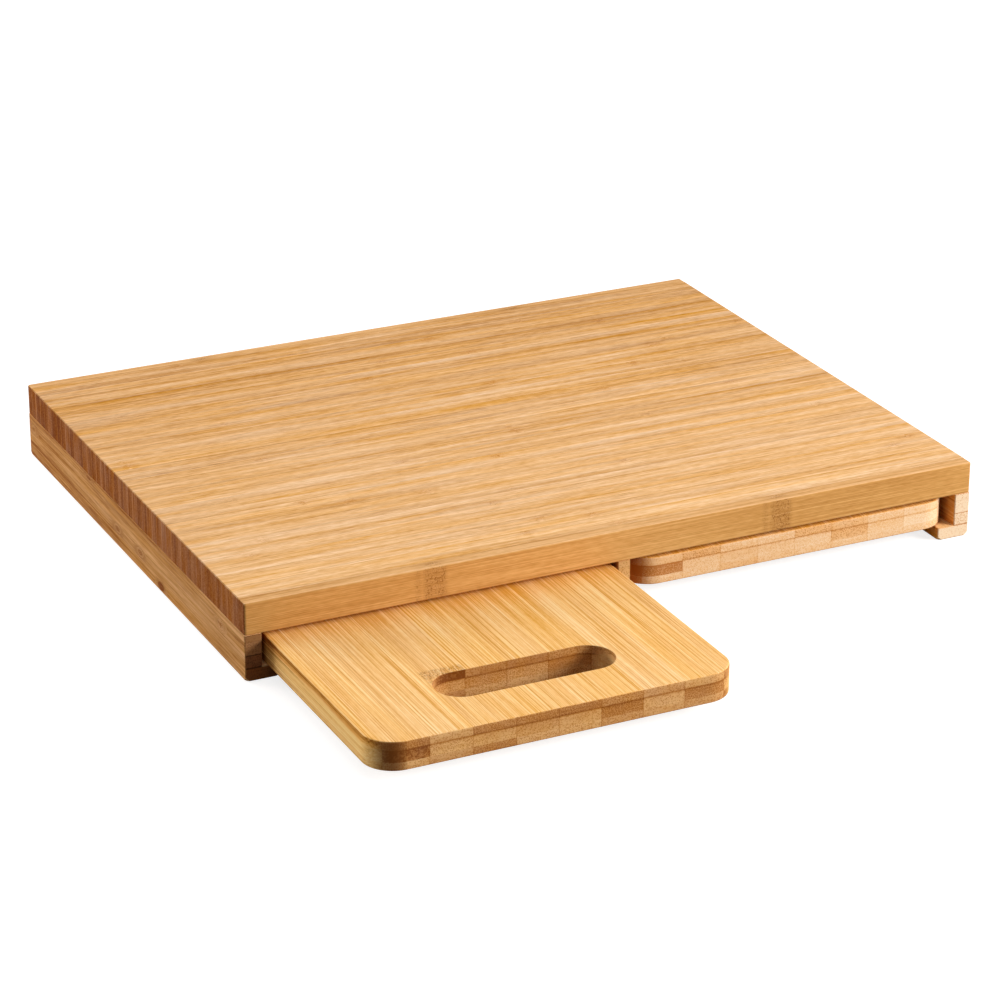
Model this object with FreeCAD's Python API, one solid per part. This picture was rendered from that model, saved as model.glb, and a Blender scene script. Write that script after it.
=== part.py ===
import FreeCAD, Part
import math
import os

# A bamboo cutting board on three grooved rails, with two small boards that slide out at the front.
# Millimetres. X runs from left to right along the front edge, Y to the back, Z up. The origin is on
# the table, under the middle of the big board.

# Big board: narrow strips glued face to face, each running the whole length
board_length = 400.0
board_depth = 312.0
board_thickness = 16.6
strip_width = 6.8             # evened out so that whole strips fill the depth
board_corner_radius = 1.3     # upright corners
board_edge_radius = 0.8       # top and bottom edges of the edge strips, sanded round
strip_end_bevel = 0.4         # ends of the field strips

# Rails: a flat lip at the bottom with a stack of layers glued on it as the web
outer_web_width = 8.6         # the outer rails are sanded flush with the ends of the big board
centre_web_width = 6.8
lip_width = 18.0              # the same flat stock under all three webs
lip_thickness = 6.8
layer_thickness = 6.8         # the topmost layer is planed to what is left
least_layer = 1.5             # less than this isn't worth a layer of its own
rail_bottom_radius = 1.2      # long lower edges
lip_tip_radius = 1.0
rail_end_bevel = 0.4
rail_end_radius = 0.8         # lower edges of a rail's ends
worn_length = 8.0             # how far a lower corner of a rail is sanded away along the rail,
worn_width = 3.0              # across it
worn_height = 2.5             # and up its end
worn_depth = 6.0              # from the end to the middle of the ball that the corner follows
stop_thickness = 8.5          # strip across the back of each bay, which stops the small board

# Small boards: three flat plies, with rounded corners and a slot for the fingers
top_ply = 4.4
core_ply = 5.8
bottom_ply = 4.3
corner_radius = 15.5
small_edge_radius = 0.8
slot_length = 91.0
slot_width = 26.0
slot_setback = 28.0           # from the front edge to the slot
slot_shift = 1.2              # to the right of the middle of the board
slot_bevel = 0.15

# Clearances and places of the small boards
side_play = 1.9               # to the web on either side
board_shift = 0.4             # both boards lie this far right of the middle of their bays
runner_gap = 0.3              # over the lips
head_room = 2.3               # under the big board
stop_gap = 0.3                # to the stop when pushed home
front_recess = 1.3            # pushed home, behind the front of the big board
left_overhang = 125.5         # the left small board is drawn this far past the front

# Worked out from the sizes above
small_thickness = top_ply + core_ply + bottom_ply
bay_height = runner_gap + small_thickness + head_room
board_bottom = lip_thickness + bay_height
front = -board_depth / 2
back = board_depth / 2
rail_end = board_length / 2
bay_outer = rail_end - outer_web_width
bay_inner = centre_web_width / 2
bay_width = bay_outer - bay_inner
bay_middle = (bay_outer + bay_inner) / 2
small_width = bay_width - 2 * side_play
small_length = board_depth - stop_thickness - stop_gap - front_recess
slot_centre = slot_setback + slot_width / 2
worn_margin = 0.3             # past the places where the ball leaves the edges
small = 1e-6                  # lengths below this count as none


def box(x0, x1, y0, y1, z0, z1):
    return Part.makeBox(x1 - x0, y1 - y0, z1 - z0, FreeCAD.Vector(x0, y0, z0))


def lies_at(edge, height):
    """True for an edge that lies level at the given height."""
    return abs(edge.BoundBox.ZMin - height) < small and edge.BoundBox.ZLength < small


def runs_back(edge):
    """True for an edge that runs from the front to the back."""
    return edge.BoundBox.YLength > board_depth / 2


def save(name, solids):
    shape = solids[0] if len(solids) == 1 else Part.makeCompound(solids)
    shape.exportStep("parts/" + name + ".step")
    print(name, len(solids), "solid(s), volume", round(shape.Volume), "mm3")


def big_board():
    """The glued-up panel with its edges eased, as a list of strips from front to back."""
    half = board_length / 2
    top = board_bottom + board_thickness
    plain = box(-half, half, front, back, board_bottom, top)
    bevelled = plain.makeChamfer(strip_end_bevel, [e for e in plain.Edges if runs_back(e)])
    rounded = plain.makeFillet(board_corner_radius, [e for e in plain.Edges if e.BoundBox.ZLength > small])
    rims = [e for e in rounded.Edges if lies_at(e, top) or lies_at(e, board_bottom)]
    rounded = rounded.makeFillet(board_edge_radius, rims)
    count = max(3, round(board_depth / strip_width))
    pitch = board_depth / count
    strips = []
    for number in range(count):
        y = front + number * pitch
        panel = rounded if number in (0, count - 1) else bevelled
        strips.append(panel.common(box(-half, half, y, y + pitch, board_bottom, top)))
    return strips


def worn_corner(x, y, towards_x, towards_y):
    """What is sanded off a rail's lower corner: a block less the ball that the corner follows. The ball
    meets the three edges of the corner at the worn length, width and height."""
    offset = worn_length * (2 * worn_depth - worn_length)
    across = (offset + worn_width ** 2) / (2 * worn_width)
    up = (offset + worn_height ** 2) / (2 * worn_height)
    radius = math.sqrt((across - worn_width) ** 2 + worn_depth ** 2 + up ** 2)
    xs = sorted((x - towards_x, x + towards_x * (worn_width + worn_margin)))
    ys = sorted((y - towards_y, y + towards_y * (worn_length + worn_margin)))
    block = box(*xs, *ys, -1, worn_height + worn_margin)
    middle = FreeCAD.Vector(x + towards_x * across, y + towards_y * worn_depth, up)
    return block.cut(Part.makeSphere(radius, middle))


def rail(web_left, web_right, lip_left, lip_right):
    """One rail as a list from bottom to top: its lip, then the layers of its web."""
    bar = box(lip_left, lip_right, front, back, 0, lip_thickness)
    bar = bar.fuse(box(web_left, web_right, front, back, lip_thickness, board_bottom)).removeSplitter()
    bar = bar.makeFillet(rail_bottom_radius, [e for e in bar.Edges if runs_back(e) and lies_at(e, 0)])
    tips = [e for e in bar.Edges if runs_back(e) and lies_at(e, lip_thickness)
            and not web_left - small < e.CenterOfMass.x < web_right + small]
    bar = bar.makeFillet(lip_tip_radius, tips)
    ends = [e for e in bar.Edges if not runs_back(e) and not lies_at(e, board_bottom)]
    bar = bar.makeChamfer(rail_end_bevel, ends)
    outline = box(lip_left, lip_right, front, back, 0, board_bottom)
    low_ends = [e for e in outline.Edges if lies_at(e, 0) and not runs_back(e)]
    bar = bar.common(outline.makeFillet(rail_end_radius, low_ends))
    for x, towards_x in ((lip_left, 1), (lip_right, -1)):
        for y, towards_y in ((front, 1), (back, -1)):
            bar = bar.cut(worn_corner(x, y, towards_x, towards_y))
    count = max(1, math.ceil((bay_height - least_layer) / layer_thickness))
    joints = [lip_thickness + number * layer_thickness for number in range(count)]
    heights = [0] + joints + [board_bottom]
    pieces = []
    for z0, z1 in zip(heights, heights[1:]):
        pieces.append(bar.common(box(lip_left, lip_right, front, back, z0, z1)))
    return pieces


def in_slot(edge, x_middle, y_middle):
    """True for an edge on the wall of the finger slot with this middle."""
    near_x = abs(edge.CenterOfMass.x - x_middle) < slot_length / 2 + small
    near_y = abs(edge.CenterOfMass.y - y_middle) < slot_width / 2 + small
    return near_x and near_y


def small_board(x_middle, y_front):
    """A small board with its front edge at y_front, as three plies from bottom to top."""
    x0 = x_middle - small_width / 2
    z0 = lip_thickness + runner_gap
    z1 = z0 + small_thickness
    board = box(x0, x0 + small_width, y_front, y_front + small_length, z0, z1)
    board = board.makeFillet(corner_radius, [e for e in board.Edges if e.BoundBox.ZLength > small])
    rims = [e for e in board.Edges if lies_at(e, z0) or lies_at(e, z1)]
    board = board.makeFillet(small_edge_radius, rims)

    end = (slot_length - slot_width) / 2
    x_slot = x_middle + slot_shift
    y_slot = y_front + slot_centre
    slot = box(x_slot - end, x_slot + end, y_slot - slot_width / 2, y_slot + slot_width / 2, z0, z1)
    for x in (x_slot - end, x_slot + end):
        slot = slot.fuse(Part.makeCylinder(slot_width / 2, small_thickness, FreeCAD.Vector(x, y_slot, z0)))
    board = board.cut(slot.removeSplitter())
    rims = [e for e in board.Edges if in_slot(e, x_slot, y_slot) and (lies_at(e, z0) or lies_at(e, z1))]
    board = board.makeChamfer(slot_bevel, rims)

    plies = []
    z = z0
    for thickness in (bottom_ply, core_ply, top_ply):
        layer = box(x0, x0 + small_width, y_front, y_front + small_length, z, z + thickness)
        plies.append(board.common(layer))
        z += thickness
    return plies


def save_each(prefix, names, pieces):
    for name, piece in zip(names, pieces):
        save(prefix + name, [piece])


os.makedirs("parts", exist_ok=True)

strips = big_board()
save("front_edge_strip", strips[:1])
save("field_strips", strips[1:-1])
save("back_edge_strip", strips[-1:])

rails = {
    "left": rail(-rail_end, -bay_outer, -rail_end, -rail_end + lip_width),
    "centre": rail(-bay_inner, bay_inner, -lip_width / 2, lip_width / 2),
    "right": rail(bay_outer, rail_end, rail_end - lip_width, rail_end),
}
for side, pieces in rails.items():
    layers = ["web_layer_" + str(number) for number in range(1, len(pieces))]
    save_each(side + "_rail_", ["lip"] + layers, pieces)

for side, x0, x1 in (("left", -bay_outer, -bay_inner), ("right", bay_inner, bay_outer)):
    save(side + "_rear_stop", [box(x0, x1, back - stop_thickness, back, lip_thickness, board_bottom)])

ply_names = ["bottom_ply", "core_ply", "top_ply"]
save_each("left_board_", ply_names, small_board(board_shift - bay_middle, front - left_overhang))
save_each("right_board_", ply_names, small_board(board_shift + bay_middle, front + front_recess))
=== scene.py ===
import math
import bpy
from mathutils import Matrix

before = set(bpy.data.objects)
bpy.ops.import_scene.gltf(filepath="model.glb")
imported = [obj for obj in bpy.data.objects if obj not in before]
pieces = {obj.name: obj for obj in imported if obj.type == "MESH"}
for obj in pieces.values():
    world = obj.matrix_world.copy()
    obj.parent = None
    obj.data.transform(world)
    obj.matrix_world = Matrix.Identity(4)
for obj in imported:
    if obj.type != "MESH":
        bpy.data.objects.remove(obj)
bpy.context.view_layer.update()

from types import SimpleNamespace

import bpy
from mathutils import Matrix, Vector

toMillimetres = 1000.0
print("cutting board: frame loaded with", len(pieces), "pieces")


def span(piece, axis):
    # where a piece starts along an axis and how far it goes on, in millimetres
    places = [corner[axis] * toMillimetres for corner in pieces[piece].bound_box]
    return min(places), max(places) - min(places)


def direction(azimuth, elevation):
    # a way to look out from the middle, in degrees: 0 is the front, 90 the right side
    azimuth = math.radians(azimuth)
    elevation = math.radians(elevation)
    return Vector((math.sin(azimuth) * math.cos(elevation), -math.cos(azimuth) * math.cos(elevation),
                   math.sin(elevation)))


cameraSettings = {
    "azimuth": -25.86,       # degrees, seen from the front left
    "elevation": 23.15,
    "roll": 0.14,
    "distance": 1.8260,      # metres from the point aimed at
    "aimRight": 0.0071,      # the point aimed at, off the origin across the view
    "aimUp": -0.0035,
    "lens": 124.06,
    "sensor": 36.0,
}


def setCamera(settings):
    back = direction(settings["azimuth"], settings["elevation"])
    right = direction(settings["azimuth"] + 90, 0)
    up = back.cross(right)
    place = right * settings["aimRight"] + up * settings["aimUp"] + back * settings["distance"]
    roll = math.radians(settings["roll"])
    across = right * math.cos(roll) + up * math.sin(roll)
    upward = up * math.cos(roll) - right * math.sin(roll)
    data = bpy.data.cameras.new("camera")
    data.lens = settings["lens"]
    data.sensor_width = settings["sensor"]
    camera = bpy.data.objects.new("camera", data)
    bpy.context.scene.collection.objects.link(camera)
    turn = Matrix((across, upward, back)).transposed().to_4x4()
    camera.matrix_world = Matrix.Translation(place) @ turn
    bpy.context.scene.camera = camera


setCamera(cameraSettings)
print("cutting board: camera set")

lampSettings = {
    # azimuth and elevation in degrees, distance, width and height in metres, power in watts
    "rightSoftbox": {"azimuth": 48, "elevation": 22, "distance": 2.0, "size": (1.0, 0.7), "watts": 49.5},
    "topSoftbox": {"azimuth": -35, "elevation": 63, "distance": 0.95, "size": (0.9, 0.7), "watts": 1.96},
    "backSoftbox": {"azimuth": 160, "elevation": 62, "distance": 1.2, "size": (1.4, 1.0), "watts": 4.0},
    "leftSoftbox": {"azimuth": -124, "elevation": 14, "distance": 1.7, "size": (0.8, 0.6), "watts": 8.4},
    "leftBackSoftbox": {"azimuth": -140, "elevation": 16, "distance": 1.7, "size": (1.2, 0.8), "watts": 19.2},
}
lampColour = (1.0, 0.985, 0.965)


def addLamps(settings):
    for name, lamp in settings.items():
        data = bpy.data.lights.new(name, "AREA")
        data.shape = "RECTANGLE"
        data.size, data.size_y = lamp["size"]
        data.energy = lamp["watts"]
        data.color = lampColour
        outwards = direction(lamp["azimuth"], lamp["elevation"])
        softbox = bpy.data.objects.new(name, data)
        softbox.location = outwards * lamp["distance"]
        softbox.rotation_euler = (-outwards).to_track_quat("-Z", "Y").to_euler()
        bpy.context.scene.collection.objects.link(softbox)


addLamps(lampSettings)
print("cutting board:", len(lampSettings), "lamps set")


def add(tree, kind, inputs=None, **settings):
    # a shader node with its settings; an input is a value or another node's socket
    node = tree.nodes.new("ShaderNode" + kind)
    for key, value in settings.items():
        setattr(node, key, value)
    for key, value in (inputs or {}).items():
        if isinstance(value, bpy.types.NodeSocket):
            tree.links.new(value, node.inputs[key])
        else:
            node.inputs[key].default_value = value
    return node


def calc(tree, operation, *values):
    return add(tree, "Math", dict(enumerate(values)), operation=operation).outputs[0]


def total(tree, *values):
    result = values[0]
    for value in values[1:]:
        result = calc(tree, "ADD", result, value)
    return result


def times(tree, *values):
    result = values[0]
    for value in values[1:]:
        result = calc(tree, "MULTIPLY", result, value)
    return result


def less(tree, first, second):
    return calc(tree, "SUBTRACT", first, second)


def join(tree, along, thick, wide):
    return add(tree, "CombineXYZ", {0: along, 1: thick, 2: wide}).outputs[0]


def shifted(tree, place, change):
    return add(tree, "VectorMath", {0: place, 1: change}, operation="ADD").outputs[0]


def stretched(tree, place, factors):
    return add(tree, "VectorMath", {0: place, 1: factors}, operation="MULTIPLY").outputs[0]


def scaled(tree, place, factor):
    return add(tree, "VectorMath", {0: place, "Scale": factor}, operation="SCALE").outputs[0]


def ramp(tree, value, low, high, start=0.0, end=1.0):
    # a soft step from start to end while the value goes from low to high
    inputs = {"Value": value, "From Min": low, "From Max": high, "To Min": start, "To Max": end}
    return add(tree, "MapRange", inputs, interpolation_type="SMOOTHSTEP").outputs[0]


def bell(tree, value, reach):
    # 1 where the value is 0, down to 0 at the reach on either side
    return ramp(tree, calc(tree, "ABSOLUTE", value), 0.0, reach, 1.0, 0.0)


def swing(tree, value, amount):
    # a noise of 0 to 1 turned into a change of that amount either way
    return calc(tree, "MULTIPLY_ADD", value, amount * 2, -amount)


def toEdge(tree, share):
    # how far a share of 0 to 1 is from the nearer of its two ends
    return calc(tree, "MINIMUM", share, less(tree, 1.0, share))


def blend(tree, factor, first, second):
    inputs = {0: factor, 6: first, 7: second}
    return add(tree, "Mix", inputs, data_type="RGBA").outputs[2]


def tint(red, green, blue):
    # a colour picked in 0 to 255 steps, as the shaders want it
    steps = [step / 255 for step in (red, green, blue)]
    return tuple(s / 12.92 if s < 0.04 else ((s + 0.055) / 1.055) ** 2.4 for s in steps) + (1.0,)


def shades(tree, value, tints):
    # dark to pale shades, spread evenly over 0 to 1
    node = add(tree, "ValToRGB", {0: value})
    stops = node.color_ramp.elements
    while len(stops) < len(tints):
        stops.new(0.5)
    for number, colour in enumerate(tints):
        stops[number].position = number / (len(tints) - 1)
        stops[number].color = tint(*colour)
    return node.outputs[0]


noiseKinds = {
    # seed and detail
    "drift": (1, 1.0), "bands": (2, 1.0), "lines": (3, 2.0), "fibres": (4, 1.0), "patches": (5, 2.0),
    "flecks": (6, 1.0), "curl": (8, 1.0), "wander": (9, 0.0), "dashes": (11, 0.0), "rings": (12, 2.0),
    "warmth": (13, 1.0),
}
seedSteps = (3.7, 1.3, 7.1)    # how far apart the noises of two seeds lie


def noise(tree, place, look, kind):
    # noise whose grains are so many millimetres long, thick and wide in the strip
    seed, detail = noiseKinds[kind]
    grains = stretched(tree, place, tuple(1 / size for size in look["grain"][kind]))
    grains = shifted(tree, grains, tuple(seed * step for step in seedSteps))
    return add(tree, "TexNoise", {"Vector": grains, "Scale": 1.0, "Detail": detail}).outputs[0]


def swings(tree, wood, look, **amounts):
    # the changes that the noises of a strip give, one after the other
    return [swing(tree, wood.noises[kind], look[amount]) for kind, amount in amounts.items()]


bambooForm = {
    # what is the same in every strip; lengths in millimetres
    "flatTurn": (-0.25, 0.25),     # facing of the flat less that of the sawn side, from side to flat
    "turnedAway": (0.0, 0.5),      # facing of a side or an end that has a colour of its own
    "grainShift": 90.0,            # how far apart the grain of two strips may lie
    "columnJoint": 0.5,            # dark line between two columns of strips
    "nodeScatter": 7.0,            # how many spacings apart the nodes of two strips may lie
    "farAway": 1000.0,             # past the end of any strip
    "knotAcross": 2.2,             # how much a knot is narrowed through the strip's thickness
    "knotEdge": (0.7, 1.3),        # where its rings go over into plain grain
    "knotPlace": 3.0,              # in the noise that its rings are cut from
    "haloReach": 2.2,              # this and the next three are shares of a node's reach
    "bandEdge": (0.6, 1.15),
    "ridgePlace": 1.35,
    "ridgeReach": 0.45,
    "ridgeStrength": 0.6,          # of the ridge beside a node, over the node itself
    "faintChance": 0.8,            # share of the strips whose nodes aren't at full strength
    "dotLength": 0.01,             # of the bundles, which are nearly endless along the fibres
    "dotScatter": 0.6,
    "dotEdge": (0.15, 0.6),        # from the middle of a bundle out to the pale wood
    "endNodeEdge": (0.4, 0.6),     # of the noise that breaks up a node cut across
    "endNodeLeast": 0.6,           # strength of its faintest parts
    "skinPlace": 0.84,             # depth at which the dark skin of the stem starts
    "stripWarmth": 0.6,            # warmth that goes by the strip, over the one that goes by the place
    "slantLeast": 0.12,            # facing at which a corner counts as cut at a slant
    "bumpDistance": 0.0003,        # metres
}


def cutIntoStrips(tree, look):
    # which strip a point of the wood lies in, how deep in it, and chances drawn once for each strip
    place = scaled(tree, add(tree, "TexCoord").outputs["Object"], toMillimetres)
    places = add(tree, "SeparateXYZ", {0: place}).outputs
    facing = add(tree, "SeparateXYZ", {0: add(tree, "NewGeometry").outputs["Normal"]}).outputs
    wood = SimpleNamespace(frontToBack=places[1])
    wood.along, wood.thick, wood.wide = [places[axis] for axis in look["axes"]]
    wood.endwards, flatwards, wood.sideways = [facing[axis] for axis in look["axes"]]
    wood.endFacing = calc(tree, "ABSOLUTE", wood.endwards)
    wood.sideFacing = calc(tree, "ABSOLUTE", wood.sideways)
    flatFacing = calc(tree, "ABSOLUTE", flatwards)
    wood.isEnd = ramp(tree, wood.endFacing, *look["endTurn"])
    wood.isFlat = ramp(tree, less(tree, flatFacing, wood.sideFacing), *bambooForm["flatTurn"])

    low, pitch = look["thickness"]
    layer = calc(tree, "DIVIDE", less(tree, wood.thick, low), pitch)
    layerNumber = calc(tree, "FLOOR", layer) if look["manyLayers"] else 0.0
    wood.depth = less(tree, layer, layerNumber)
    start, width = look["columns"]
    column = calc(tree, "DIVIDE", less(tree, wood.wide, start), width)
    wood.columnNumber = calc(tree, "FLOOR", column)

    number = join(tree, layerNumber, wood.columnNumber, look["seed"])
    chance = add(tree, "TexWhiteNoise", {"Vector": number}).outputs["Color"]
    wood.shift = scaled(tree, chance, bambooForm["grainShift"])
    wood.dice = add(tree, "SeparateColor", {0: chance}).outputs
    skinUp = look["skinUp"] if look["skinUp"] is not None else calc(tree, "GREATER_THAN", wood.dice[1], 0.5)
    wood.outward = calc(tree, "ABSOLUTE", less(tree, less(tree, 1.0, wood.depth), skinUp))
    wood.tone = less(tree, wood.dice[0], 0.5)
    # columns painted darker as shade, or paler as light
    for paintedColumn, change in look["litAndShadedColumns"]:
        inPaintedColumn = calc(tree, "COMPARE", wood.columnNumber, paintedColumn, 0.5)
        wood.tone = calc(tree, "MULTIPLY_ADD", inPaintedColumn, -change, wood.tone)

    jointGap = times(tree, toEdge(tree, wood.depth), pitch)
    wood.jointLine = ramp(tree, jointGap, 0.0, look["jointWidth"], 1.0, 0.0)
    columnGap = times(tree, toEdge(tree, less(tree, column, wood.columnNumber)), width)
    wood.columnLine = ramp(tree, columnGap, 0.0, bambooForm["columnJoint"], 1.0, 0.0)
    return wood


def findNode(tree, wood, look):
    # how far along the fibres the nearest node of the stem is, at places of its own or once in every length
    if not look["nodes"]:
        spacing = look["nodeSpacing"]
        luck = times(tree, wood.dice[2], bambooForm["nodeScatter"])
        steps = total(tree, calc(tree, "DIVIDE", wood.along, spacing), luck)
        return times(tree, less(tree, calc(tree, "FRACT", steps), 0.5), spacing)
    away = None
    for place, column in look["nodes"]:
        distance = less(tree, wood.along, place)
        if column is not None:
            elsewhere = less(tree, 1.0, calc(tree, "COMPARE", wood.columnNumber, column, 0.5))
            distance = total(tree, distance, times(tree, elsewhere, bambooForm["farAway"]))
        if away is None:
            away = distance
        else:
            nearer = calc(tree, "LESS_THAN", calc(tree, "ABSOLUTE", distance), calc(tree, "ABSOLUTE", away))
            away = add(tree, "Mix", {0: nearer, 2: away, 3: distance}).outputs[0]
    return away


def growGrain(tree, wood, look):
    # grain of its own for each strip, curling a little at the nodes
    wood.away = findNode(tree, wood, look)
    wood.nearNode = bell(tree, wood.away, look["nodeReach"])
    plain = shifted(tree, join(tree, wood.along, wood.thick, wood.wide), wood.shift)
    curl = times(tree, swing(tree, noise(tree, plain, look, "curl"), look["curl"]), wood.nearNode)
    wander = total(tree, swing(tree, noise(tree, plain, look, "wander"), look["wander"]), curl)
    wood.grain = shifted(tree, plain, join(tree, 0.0, wander, wander))
    if look["knotRings"]:
        # the grain flows round the node in long rings
        across = times(tree, less(tree, wood.depth, 0.5), bambooForm["knotAcross"])
        lengthwise = calc(tree, "DIVIDE", wood.away, look["nodeReach"])
        squares = total(tree, times(tree, across, across), times(tree, lengthwise, lengthwise))
        ring = calc(tree, "SQRT", squares)
        ringed = join(tree, 0.0, times(tree, ring, look["knotRings"]), bambooForm["knotPlace"])
        atKnot = ramp(tree, ring, *bambooForm["knotEdge"], 1.0, 0.0)
        inputs = {0: atKnot, 4: wood.grain, 5: shifted(tree, ringed, wood.shift)}
        wood.grain = add(tree, "Mix", inputs, data_type="VECTOR").outputs[1]
    kinds = ("drift", "bands", "lines", "fibres", "patches", "flecks", "rings", "warmth")
    wood.noises = {kind: noise(tree, wood.grain, look, kind) for kind in kinds}
    wood.noises["dashes"] = noise(tree, plain, look, "dashes")
    # painted light: each strip a little paler towards the front
    wood.level = calc(tree, "MULTIPLY_ADD", wood.frontToBack, -look["paintedFrontLight"], look["level"])


def changeStretchesAndShade(tree, wood, value, stretchesAndShade):
    # stretches of a strip that are paler or darker than the rest, by place, reach and change; on the small
    # boards, painted shade beside the big board
    for place, reach, change in stretchesAndShade:
        there = bell(tree, less(tree, wood.along, place), reach)
        value = calc(tree, "MULTIPLY_ADD", there, change, value)
    return value


def colourLongFaces(tree, wood, look):
    # the sawn side of the strip, and its flat
    common = total(tree, wood.level, times(tree, wood.tone, look["toneSwing"]),
                   *swings(tree, wood, look, drift="driftSwing", flecks="fleckSwing"))
    # tone stretches, and the painted shade on the small boards beside the big board
    common = changeStretchesAndShade(tree, wood, common, look["stretchesAndShade"])
    joint = times(tree, wood.jointLine, less(tree, wood.dice[2], look["darkJoints"]))
    knot = times(tree, swing(tree, wood.noises["bands"], look["knotSwing"]), wood.nearNode)
    sideValue = total(tree, common, times(tree, less(tree, 0.5, wood.outward), look["depthSwing"]),
                      times(tree, joint, look["jointSwing"]), knot,
                      *swings(tree, wood, look, bands="bandSwing", lines="lineSwing",
                              fibres="fibreSwing", patches="patchSwing"))
    # painted shade on the sawn sides beside the big board
    sideValue = changeStretchesAndShade(tree, wood, sideValue, look["paintedSideShade"])
    flatValue = total(tree, common, *swings(tree, wood, look, bands="flatBand", lines="flatLine",
                                            fibres="flatFibre", patches="flatPatch"))
    sideColour = shades(tree, sideValue, look["side"])
    if look["bounceLitInnerSide"]:
        # painted light: the faces in a bay are warmer than the outer ones, as light bounced off the wood
        # round them
        inward = times(tree, wood.sideways, look["inward"])
        sideColour = blend(tree, ramp(tree, inward, *bambooForm["turnedAway"]), sideColour,
                           shades(tree, sideValue, look["bounceLitInnerSide"]))
    return blend(tree, wood.isFlat, sideColour, shades(tree, flatValue, look["flat"]))


def markNodes(tree, wood, look, colour):
    # a brown smudge on the sawn side, a band of short dashes across the flat
    reach = look["nodeReach"]
    dashes = bell(tree, less(tree, wood.noises["dashes"], 0.5), look["dashWidth"])
    inside = bell(tree, less(tree, wood.outward, look["nodeDepthPlace"]), look["nodeDepthReach"])
    halo = times(tree, bell(tree, wood.away, reach * bambooForm["haloReach"]), look["halo"])
    smudge = times(tree, total(tree, times(tree, dashes, wood.nearNode), halo), inside)
    strength = ramp(tree, wood.dice[1], 0.0, bambooForm["faintChance"], look["faintNodes"], 1.0)
    edge = [share * reach for share in bambooForm["bandEdge"]]
    band = ramp(tree, calc(tree, "ABSOLUTE", wood.away), *edge, 1.0, 0.0)
    ridgeAway = total(tree, wood.away, reach * bambooForm["ridgePlace"])
    ridge = times(tree, bell(tree, ridgeAway, reach * bambooForm["ridgeReach"]), bambooForm["ridgeStrength"])
    dashed = calc(tree, "MULTIPLY_ADD", dashes, 1 - look["bandTint"], look["bandTint"])
    flatMark = times(tree, dashed, calc(tree, "MAXIMUM", band, ridge))
    mark = add(tree, "Mix", {0: wood.isFlat, 2: smudge, 3: flatMark}).outputs[0]
    return blend(tree, times(tree, mark, strength, look["nodeDepth"]), colour, tint(*look["nodeTint"]))


def colourEnds(tree, wood, look):
    # layers through the thickness, and the bundles as dots
    place = stretched(tree, wood.grain, (bambooForm["dotLength"], look["dotsPerMm"], look["dotsPerMm"]))
    dots = add(tree, "TexVoronoi", {"Vector": place, "Scale": 1.0, "Randomness": bambooForm["dotScatter"]})
    dotted = ramp(tree, dots.outputs["Distance"], *bambooForm["dotEdge"], 0.5, -0.5)
    curls = ramp(tree, wood.noises["dashes"], *bambooForm["endNodeEdge"], bambooForm["endNodeLeast"], 1.0)
    node = times(tree, bell(tree, wood.away, look["endNodeReach"]), curls)
    joint = times(tree, wood.jointLine, less(tree, wood.dice[2], look["endDarkJoints"]))
    value = total(tree, wood.level, times(tree, wood.tone, look["endTone"]),
                  times(tree, less(tree, 0.5, wood.outward), look["endDepth"]),
                  times(tree, ramp(tree, wood.outward, bambooForm["skinPlace"], 1.0), -look["skinLine"]),
                  times(tree, wood.columnLine, -look["columnLine"]),
                  times(tree, joint, look["endJoint"]),
                  *swings(tree, wood, look, rings="endRings", lines="endLine"),
                  times(tree, dotted, -look["endDots"]), times(tree, node, -look["endNode"]))
    colour = shades(tree, value, look["end"])
    if look["backEnd"]:
        atBack = ramp(tree, wood.endwards, *bambooForm["turnedAway"])
        colour = blend(tree, atBack, colour, shades(tree, value, look["backEnd"]))
    return colour


def paintCornerShade(tree, wood, look, colour):
    # painted shade round one corner, on the faces that are cut at a slant there
    place, reach, deepest = look["cornerShade"]
    slant = ramp(tree, times(tree, wood.endFacing, wood.sideFacing), 0.0, bambooForm["slantLeast"])
    cornerShaded = times(tree, slant, bell(tree, less(tree, wood.wide, place), reach), deepest)
    return blend(tree, cornerShaded, colour, tint(*look["cornerShadeTint"]))


def bamboo(name, look):
    # solid bamboo: strips with fibres along one axis, cut open by whatever faces the piece has
    material = bpy.data.materials.new(name)
    material.use_nodes = True
    tree = material.node_tree
    tree.nodes.clear()
    wood = cutIntoStrips(tree, look)
    growGrain(tree, wood, look)
    longFaces = markNodes(tree, wood, look, colourLongFaces(tree, wood, look))
    colour = blend(tree, wood.isEnd, longFaces, colourEnds(tree, wood, look))
    byStrip = times(tree, less(tree, wood.dice[1], 0.5), look["warmthSwing"] * bambooForm["stripWarmth"])
    warmth = total(tree, *swings(tree, wood, look, warmth="warmthSwing"), byStrip)
    warmth = times(tree, warmth, ramp(tree, wood.isEnd, 0.0, 1.0, 1.0, look["endWarmth"]))
    saturation = total(tree, warmth, 1.0)
    colour = add(tree, "HueSaturation", {"Saturation": saturation, "Color": colour}).outputs[0]
    # painted shade on one corner of the small boards
    if look["cornerShade"]:
        colour = paintCornerShade(tree, wood, look, colour)
    roughness = ramp(tree, wood.isEnd, 0.0, 1.0, look["roughness"], look["endRoughness"])
    relief = total(tree, times(tree, wood.noises["lines"], 0.5), times(tree, wood.noises["fibres"], 0.5))
    bump = add(tree, "Bump", {"Height": relief, "Strength": look["relief"],
                              "Distance": bambooForm["bumpDistance"]}).outputs[0]
    shader = add(tree, "BsdfPrincipled", {"Base Color": colour, "Roughness": roughness, "Normal": bump,
                                          "Specular IOR Level": look["specular"]}).outputs[0]
    add(tree, "OutputMaterial", {0: shader})
    return material


def clothe(piece, look):
    # materials carry the piece's own name, in one word
    words = piece.split("_")
    material = bamboo(words[0] + "".join(word.capitalize() for word in words[1:]), look)
    for slot in pieces[piece].material_slots:
        slot.material = material


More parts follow.
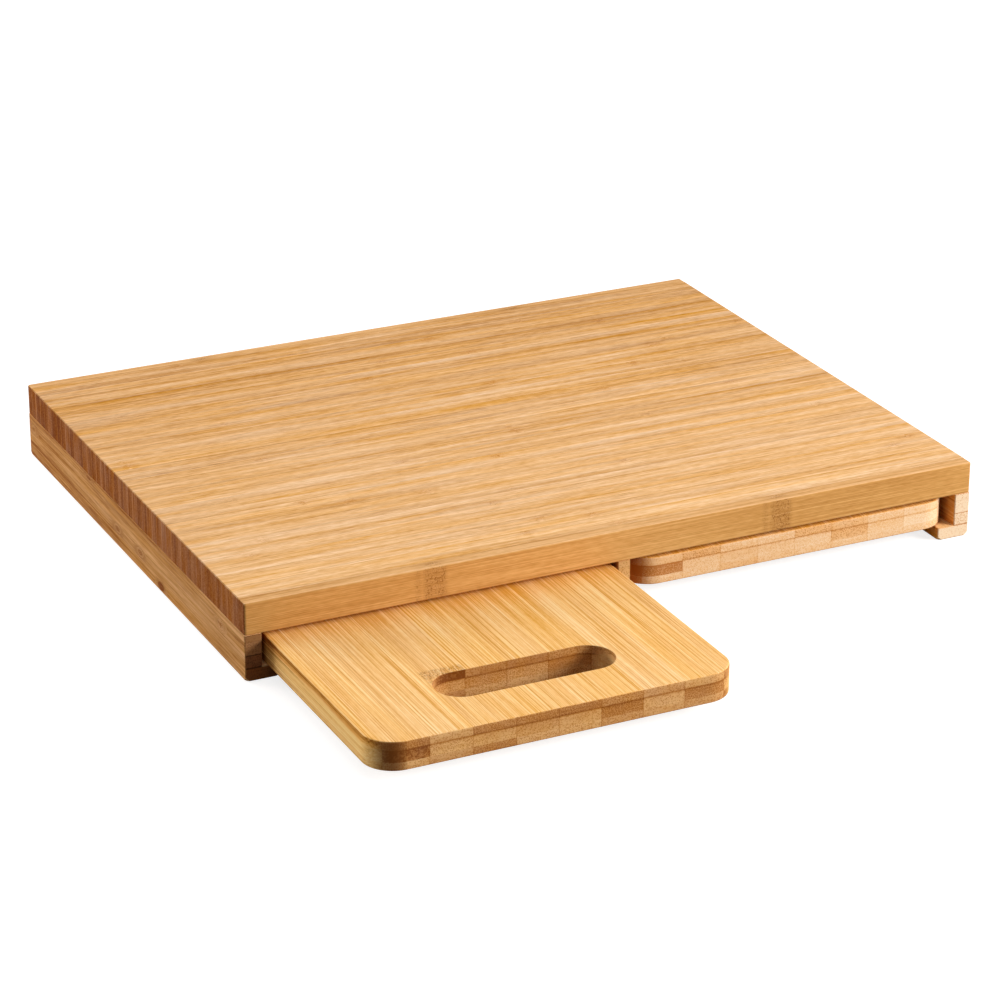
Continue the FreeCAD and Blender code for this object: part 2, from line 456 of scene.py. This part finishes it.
sawnGrain = {
    # millimetres along the fibres, through the strip's thickness and across its width
    "drift": (130, 14, 14), "bands": (300, 2.4, 3.0), "lines": (120, 0.75, 0.85), "fibres": (14, 0.32, 0.36),
    "patches": (30, 1.1, 1.3), "flecks": (5.0, 0.8, 0.9), "rings": (500, 0.9, 40.0), "warmth": (70, 5, 9),
    "curl": (4.5, 2.6, 2.6), "wander": (90, 9, 9), "dashes": (1.7, 1.1, 1.1),
}
flatGrain = dict(sawnGrain, lines=(260, 0.7, 0.75), fibres=(90, 0.42, 0.45), patches=(34, 1.5, 1.7),
                 rings=(500, 1.2, 9.0), warmth=(90, 8, 8))
bigBoard = {
    "axes": (0, 1, 2),                    # along the fibres, through a strip's thickness, across its width
    "thickness": span("front_edge_strip", 1),    # where the first strip starts, and how thick each is
    "manyLayers": True,                   # strip after strip through the piece
    "columns": (-50.0, 200.0),            # where the first column starts, and how wide each is: here one
    "seed": 3.0,
    "skinUp": None,                       # 1 or 0 for the skin of the stem up or down, None for either
    "litAndShadedColumns": (),                    # number of a column, and how much darker it is painted, as shade; below 0 paler, as light
    "grain": sawnGrain, "wander": 0.05, "curl": 2.5,

    # changes either way on a scale from 0, dark, to 1, pale
    "level": 0.5,
    "paintedFrontLight": 0.001,                   # painted light: paler towards the front, by the millimetre
    "toneSwing": 0.09, "driftSwing": 0.22, "fleckSwing": 0.30,
    "stretchesAndShade": (), "paintedSideShade": (),    # place, reach and change; the small boards use these for painted shade beside the big board
    "depthSwing": 0.20, "bandSwing": 0.18, "lineSwing": 0.22, "fibreSwing": 0.40, "patchSwing": 0.24,
    "flatBand": 0.08, "flatLine": 0.30, "flatFibre": 0.45, "flatPatch": 0.15,
    "jointWidth": 0.7, "darkJoints": 0.45, "jointSwing": 0.55,
    "warmthSwing": 0.2, "endWarmth": 0.6,

    # sawn ends
    "endTurn": (0.45, 0.9),               # facing at which a face goes over into an end
    "endTone": 0.22, "endDepth": 0.25, "endRings": 0.65, "endLine": 0.5, "endDots": 0.2, "dotsPerMm": 1.2,
    "endJoint": 0.9, "endDarkJoints": 0.15, "skinLine": 0.0, "columnLine": 0.0,
    "endNode": 0.0, "endNodeReach": 6.0,
    "cornerShade": None,                       # place, reach and strength of the painted shade on a corner

    # nodes of the stem: place along the fibres and column, or None for one in every spacing
    "nodes": None, "nodeSpacing": 400.0, "nodeReach": 5.0, "nodeDepth": 0.75, "faintNodes": 0.1,
    "nodeDepthPlace": 0.6, "nodeDepthReach": 0.5, "halo": 0.28, "bandTint": 0.2, "dashWidth": 0.05,
    "knotSwing": 0.0, "knotRings": 0.0,

    # dark, middle and pale shades, picked in 0 to 255 steps
    "side": ((175, 118, 53), (222, 171, 113), (250, 210, 165)),
    "flat": ((172, 108, 40), (217, 152, 82), (243, 180, 108)),
    "end": ((95, 42, 11), (131, 73, 30), (170, 113, 71)),
    "bounceLitInnerSide": None, "inward": -1.0,    # shades of the faces in a bay, painted warmer as bounced light, and which way those face
    "backEnd": None,
    # the second tint is the painted shade of a corner that faces away from the light
    "nodeTint": (168, 96, 38), "cornerShadeTint": (112, 62, 22),
    "roughness": 0.7, "endRoughness": 0.95, "specular": 0.05, "relief": 0.25,
}
clothe("field_strips", bigBoard)

edgeStrip = dict(
    bigBoard, manyLayers=False, seed=11.0, grain=dict(flatGrain, dashes=(1.1, 1.3, 1.3)), curl=0.3,
    paintedFrontLight=0.0, driftSwing=0.12, fleckSwing=0.22, flatBand=0.03, flatLine=0.22, flatPatch=0.1,
    stretchesAndShade=((-15.0, 130.0, 0.12), (-230.0, 130.0, -0.05), (200.0, 150.0, -0.05)), warmthSwing=0.0,
    nodes=((-102.0, None), (88.0, None)), nodeReach=6.5, faintNodes=1.0, bandTint=0.25, dashWidth=0.06,
    flat=((160, 105, 45), (198, 145, 81), (228, 178, 114)), nodeTint=(112, 58, 16),
)
clothe("front_edge_strip", edgeStrip)
clothe("back_edge_strip", dict(edgeStrip, thickness=span("back_edge_strip", 1), seed=12.0))
print("cutting board: big board is bamboo")

boardFront = span("front_edge_strip", 1)[0]
drawnFront = span("left_board_top_ply", 1)[0]
shadeBesideBoard = boardFront + 6.0     # where the painted shade on the drawn board, under the big board's front edge, is darkest
smallBoard = dict(
    bigBoard, axes=(1, 2, 0), manyLayers=False, grain=flatGrain, paintedFrontLight=0.0,
    toneSwing=0.1, fleckSwing=0.2, lineSwing=0.5, flatBand=0.03, flatLine=0.68, flatFibre=1.1, flatPatch=0.2,
    # painted shade on the top and sides where the big board overhangs
    stretchesAndShade=((shadeBesideBoard, 28.0, -0.4),), paintedSideShade=((shadeBesideBoard, 80.0, -0.18),), warmthSwing=0.08,
    endTone=0.34, endDepth=0.1, endRings=0.15, endLine=0.1, endDots=0.42, dotsPerMm=1.35, endJoint=0.0,
    skinLine=0.32, columnLine=0.18, endNode=0.95, nodeSpacing=620.0, nodeReach=4.0, bandTint=0.4,
    side=((176, 116, 50), (238, 187, 114), (250, 214, 148)),
    flat=((220, 156, 71), (245, 191, 119), (254, 218, 158)),
    end=((130, 72, 25), (181, 121, 63), (224, 177, 117)),
)
plies = {
    # skin of the stem up or down
    "bottom": dict(skinUp=0.0),
    "core": dict(skinUp=1.0),
    "top": dict(skinUp=0.0, side=((137, 74, 22), (219, 155, 80), (246, 199, 126)), depthSwing=-0.7),
}
drawnTopNode = dict(nodes=((drawnFront + 55.5, 2.0),), nodeReach=5.0, nodeDepth=0.9, bandTint=0.2,
                    faintNodes=1.0, nodeTint=(138, 76, 28))
# the right board: paler ends, and a lighter tint for the painted shade on its corner
pushedHome = dict(endTone=0.4, end=((174, 108, 50), (221, 169, 113), (234, 203, 166)),
                  cornerShadeTint=(150, 76, 22))
columnWidth = 21.35
smallBoards = {
    # millimetres from the left side: the first joint between two columns, and the corner with painted shade,
    # with its reach and strength; columns painted darker as shade, or paler as light, by number from the left
    "left": {"seed": 5.0, "firstJoint": 5.1, "cornerShade": (9.5, 10.0, 0.8), "own": {},
             "plies": {"top": drawnTopNode}},
    "right": {"seed": 15.0, "firstJoint": 6.4, "cornerShade": (4.0, 8.0, 0.6), "own": pushedHome,
              # the right board's columns at its left are painted darker as shade, those at its right paler as
              # light
              "plies": {"bottom": {"litAndShadedColumns": ((6.0, -0.5), (7.0, -0.8), (8.0, -0.8))},
                        "core": {"litAndShadedColumns": ((-1.0, 1.7), (0.0, 1.6), (7.0, -1.3), (8.0, -1.3))},
                        "top": {"litAndShadedColumns": ((7.0, -0.5), (8.0, -0.8))}}},
}
for side, board in smallBoards.items():
    for number, (ply, plyLook) in enumerate(plies.items()):
        piece = side + "_board_" + ply + "_ply"
        leftSide = span(piece, 0)[0]
        # the painted shade on a corner, placed from the board's left side
        place, reach, deepest = board["cornerShade"]
        look = dict(smallBoard, seed=board["seed"] + number, thickness=span(piece, 2),
                    columns=(leftSide + board["firstJoint"], columnWidth),
                    cornerShade=(leftSide + place, reach, deepest))
        look.update(plyLook)
        look.update(board["own"])
        look.update(board["plies"].get(ply, {}))
        clothe(piece, look)
print("cutting board: small boards are bamboo")

railEnd = ((130, 78, 34), (182, 130, 72), (214, 168, 110))
# the rails keep the big board's painted light, paler towards the front
rail = dict(
    bigBoard, axes=(1, 2, 0), manyLayers=False, columns=(-400.0, 900.0), end=railEnd, backEnd=railEnd,
    grain=dict(sawnGrain, bands=(200, 2.2, 2.8), rings=(500, 1.3, 12.0)),
    seed=31.0, toneSwing=0.2, driftSwing=0.4, fleckSwing=0.14, bandSwing=0.45, lineSwing=0.3, patchSwing=0.4,
    warmthSwing=0.07, endTone=0.2, endDepth=0.1, endRings=0.2, endLine=0.1, endDots=0.5, endJoint=-0.7,
    endDarkJoints=0.0, nodeReach=7.0, nodeDepthPlace=0.5, nodeDepthReach=0.55, halo=0.4, faintNodes=1.0,
    dashWidth=0.07, knotSwing=1.6, knotRings=4.5, nodeTint=(116, 56, 16),
    side=((130, 72, 24), (181, 128, 70), (212, 162, 109)),
    flat=((190, 134, 74), (232, 182, 122), (250, 212, 160)),
)
railNodes = {
    # from bottom to top, place from the middle of the rail
    "lip": ((-44.0, None),),
    "web_layer_1": ((-15.0, None), (18.0, None)),
    "web_layer_2": ((-125.0, None), (149.0, None)),
    "web_layer_3": ((60.0, None),),
}
shadedLeftRailEnds = {
    # painted shade: darker than the others at the front, in the shadow of the drawn board, and each layer a
    # little different
    "lip": ((62, 33, 15), (104, 59, 30), (151, 96, 54)),
    "web_layer_1": ((63, 36, 18), (113, 68, 38), (166, 108, 66)),
    "web_layer_2": ((72, 44, 22), (126, 82, 48), (176, 126, 80)),
    "web_layer_3": ((86, 53, 28), (133, 89, 52), (161, 116, 73)),
}
railSides = {
    "left": dict(endDots=0.25),
    "centre": {},
    # the right rail's bay side is painted warmer, as bounced light
    "right": dict(endJoint=-1.1, endDots=0.8, end=((184, 126, 80), (223, 185, 146), (230, 204, 172)),
                  bounceLitInnerSide=((152, 81, 22), (221, 140, 55), (241, 174, 95))),
}
for side, own in railSides.items():
    for number, (layer, nodes) in enumerate(railNodes.items()):
        piece = side + "_rail_" + layer
        look = dict(rail, seed=rail["seed"] + number, thickness=span(piece, 2), nodes=nodes)
        look.update(own)
        # painted shade on the left rail's front ends
        if side == "left":
            look["end"] = shadedLeftRailEnds[layer]
        clothe(piece, look)

rearStop = dict(bigBoard, manyLayers=False, seed=71.0, flat=edgeStrip["flat"])
for side in ("left", "right"):
    clothe(side + "_rear_stop", rearStop)
print("cutting board: rails and rear stops are bamboo")


def seenDirectly(tree):
    # 1 for what the camera sees, also in gloss and through glass, 0 for the light that falls on the pieces
    rays = add(tree, "LightPath").outputs
    mirrored = calc(tree, "MAXIMUM", rays["Is Glossy Ray"], rays["Is Transmission Ray"])
    return calc(tree, "MAXIMUM", rays["Is Camera Ray"], mirrored)


floorSettings = {
    # metres
    "halfSize": 8.0,
    "gap": 0.0002,                 # from the rails down to the floor
    "shade": 0.45,                 # of the floor's own colour
    "glow": (0.8, 1.0),            # of the white floor as the camera sees it, near the boards and far off
    "glowFrom": (0.35, 0.9),       # from the middle, where it is near and where far off
    "underBoard": (-0.05, -0.02),  # past the sides of the big board, from dark to white
}


def whiteFloor(settings):
    half = settings["halfSize"]
    mesh = bpy.data.meshes.new("floor")
    corners = [(-half, -half, 0), (half, -half, 0), (half, half, 0), (-half, half, 0)]
    mesh.from_pydata(corners, [], [(0, 1, 2, 3)])
    floor = bpy.data.objects.new("floor", mesh)
    floor.location.z = -settings["gap"]
    bpy.context.scene.collection.objects.link(floor)
    material = bpy.data.materials.new("whiteFloor")
    material.use_nodes = True
    tree = material.node_tree
    tree.nodes.clear()
    shade = settings["shade"]
    paint = add(tree, "BsdfDiffuse", {"Color": (shade, shade, shade, 1)}).outputs[0]
    spot = add(tree, "NewGeometry").outputs["Position"]
    distance = add(tree, "VectorMath", {0: spot}, operation="LENGTH").outputs[1]
    spots = add(tree, "SeparateXYZ", {0: spot}).outputs
    farCorner = pieces["field_strips"].bound_box[6]
    beyond = [less(tree, calc(tree, "ABSOLUTE", spots[axis]), farCorner[axis]) for axis in (0, 1)]
    openFloor = ramp(tree, calc(tree, "MAXIMUM", *beyond), *settings["underBoard"])
    glow = ramp(tree, distance, *settings["glowFrom"], *settings["glow"])
    light = add(tree, "Emission", {"Strength": times(tree, seenDirectly(tree), glow, openFloor)}).outputs[0]
    add(tree, "OutputMaterial", {0: add(tree, "AddShader", {0: paint, 1: light}).outputs[0]})
    mesh.materials.append(material)


whiteFloor(floorSettings)
print("cutting board: white floor laid")

skyStrength = 0.06    # of the white surroundings, as light


def whiteSurroundings(strength):
    world = bpy.data.worlds.new("studio")
    world.use_nodes = True
    bpy.context.scene.world = world
    tree = world.node_tree
    tree.nodes.clear()
    seen = calc(tree, "MULTIPLY_ADD", seenDirectly(tree), 1 - strength, strength)
    sky = add(tree, "Background", {"Color": (1, 1, 1, 1), "Strength": seen}).outputs[0]
    add(tree, "OutputWorld", {0: sky})


whiteSurroundings(skyStrength)
bpy.context.scene.view_settings.view_transform = "Standard"
print("cutting board: white surroundings set")

print("cutting board: done")
